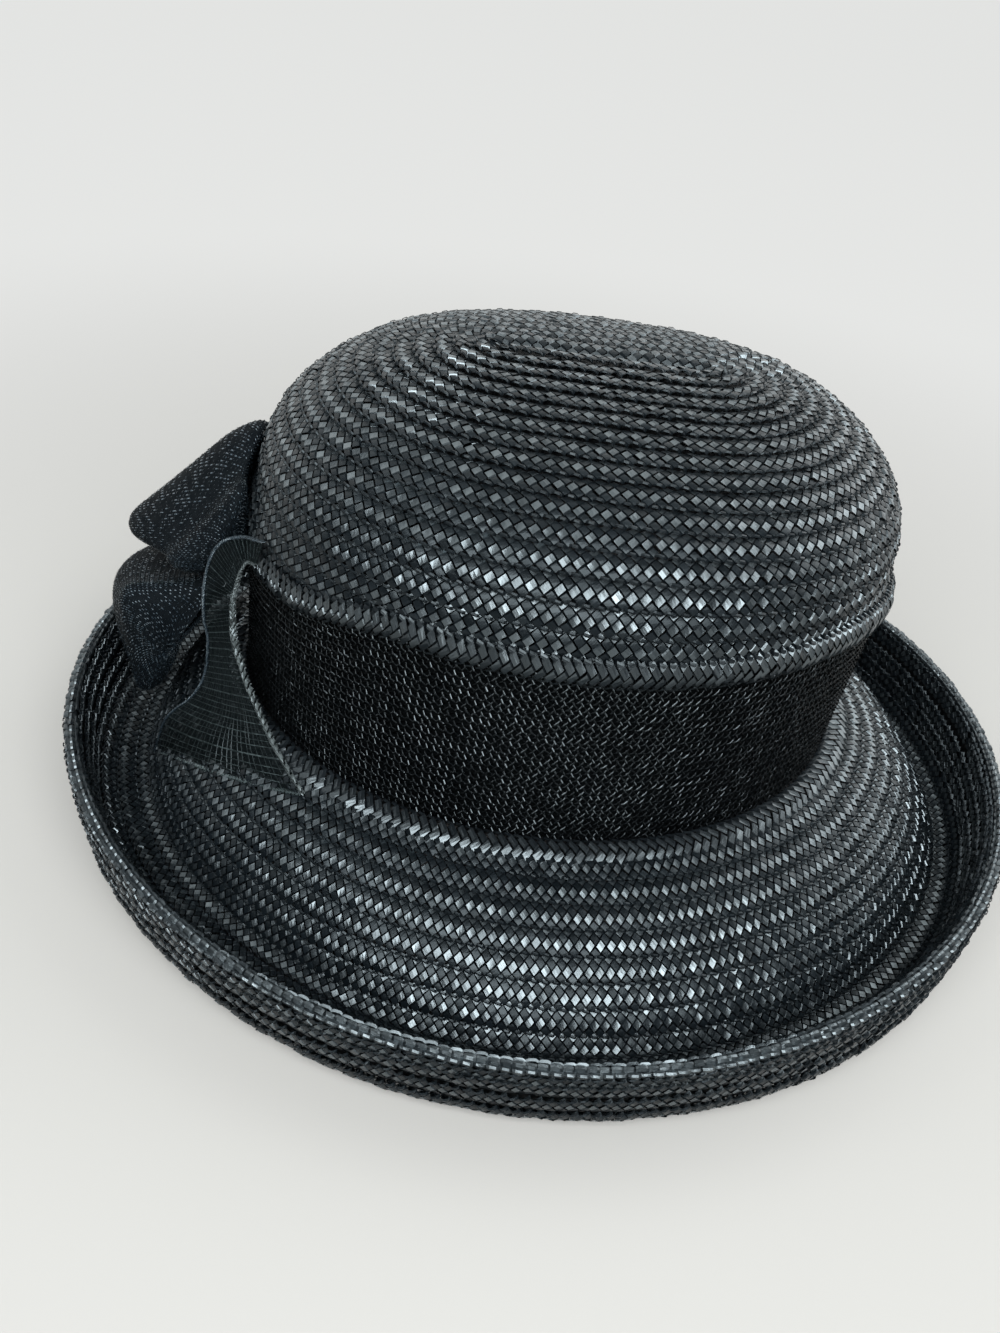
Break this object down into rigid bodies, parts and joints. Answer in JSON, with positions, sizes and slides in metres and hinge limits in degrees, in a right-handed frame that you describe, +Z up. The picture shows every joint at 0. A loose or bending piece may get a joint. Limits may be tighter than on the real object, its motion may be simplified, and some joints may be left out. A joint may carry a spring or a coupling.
{
  "type": "dress hat",
  "caption": "Dress hat with a domed oval crown and an upturned brim of sewn dark straw braid, a woven mesh band and a bow of the same mesh at one side.",
  "frame": {"origin": "on the surface that the hat rests on, under the middle of its outline", "axes": "+Z up, +X along the long oval of the crown and away from the bow, +Y to the back"},
  "size_m": [0.3292, 0.3094, 0.1538],
  "materials": {
    "straw": "glossy dark straw braid",
    "braid": "glossy dark straw braid",
    "woven_band": "fine mesh with a satin sheen",
    "ribbon": "sheer mesh with a satin sheen"
  },
  "bodies": {
    "root": {"crown": "straw", "brim": "straw", "rim_braid": "braid", "lower_trim_braid": "braid", "upper_trim_braid": "braid", "band": "woven_band", "bow_knot": "ribbon", "bow_upper_loop": "ribbon", "bow_lower_loop": "ribbon", "bow_tail": "ribbon"}
  },
  "joints": []
}
